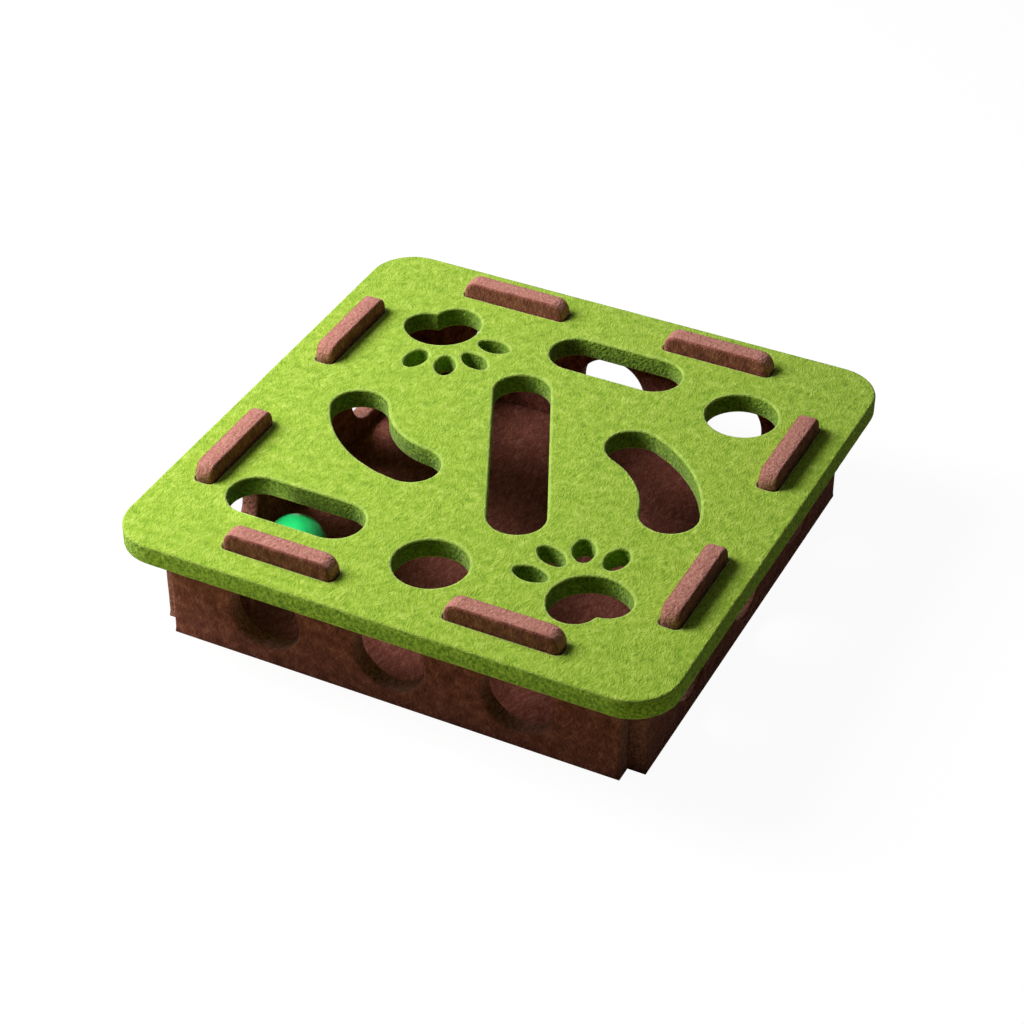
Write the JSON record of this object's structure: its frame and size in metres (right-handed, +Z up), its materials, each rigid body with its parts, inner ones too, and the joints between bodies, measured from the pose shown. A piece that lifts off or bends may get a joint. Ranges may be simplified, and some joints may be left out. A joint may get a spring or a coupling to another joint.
{
  "type": "cat maze toy",
  "caption": "Square felt play box for a cat: a lid with slots, round holes and paw shapes sits on tabbed walls with round holes, over a floor sheet with a ball.",
  "frame": {"origin": "centre of the square footprint, on the surface that the box stands on", "axes": "+Z up through the lid, +X to the right along the front wall, +Y from the front wall to the back"},
  "size_m": [0.3, 0.3, 0.0745],
  "materials": {
    "brown_felt": "needle felt board",
    "green_felt": "needle felt board",
    "green_plastic": "smooth moulded"
  },
  "bodies": {
    "base": {"base_sheet": "brown_felt"},
    "lid": {"lid": "green_felt"},
    "front_wall": {"front_wall": "brown_felt"},
    "right_wall": {"right_wall": "brown_felt"},
    "back_wall": {"back_wall": "brown_felt"},
    "left_wall": {"left_wall": "brown_felt"},
    "ball": {"ball": "green_plastic"}
  },
  "joints": [
    {"name": "lid_lift", "type": "slide", "parent": "base", "child": "lid", "axis": [0, 0, 1], "range_m": [0, 0.1]},
    {"name": "front_wall_pull", "type": "slide", "parent": "lid", "child": "front_wall", "axis": [0, 0, -1], "range_m": [0, 0.04]},
    {"name": "right_wall_pull", "type": "slide", "parent": "lid", "child": "right_wall", "axis": [0, 0, -1], "range_m": [0, 0.04]},
    {"name": "back_wall_pull", "type": "slide", "parent": "lid", "child": "back_wall", "axis": [0, 0, -1], "range_m": [0, 0.04]},
    {"name": "left_wall_pull", "type": "slide", "parent": "lid", "child": "left_wall", "axis": [0, 0, -1], "range_m": [0, 0.04]},
    {"name": "ball_roll", "type": "slide", "parent": "base", "child": "ball", "axis": [0, 1, 0], "range_m": [-0.043, 0.17]}
  ]
}
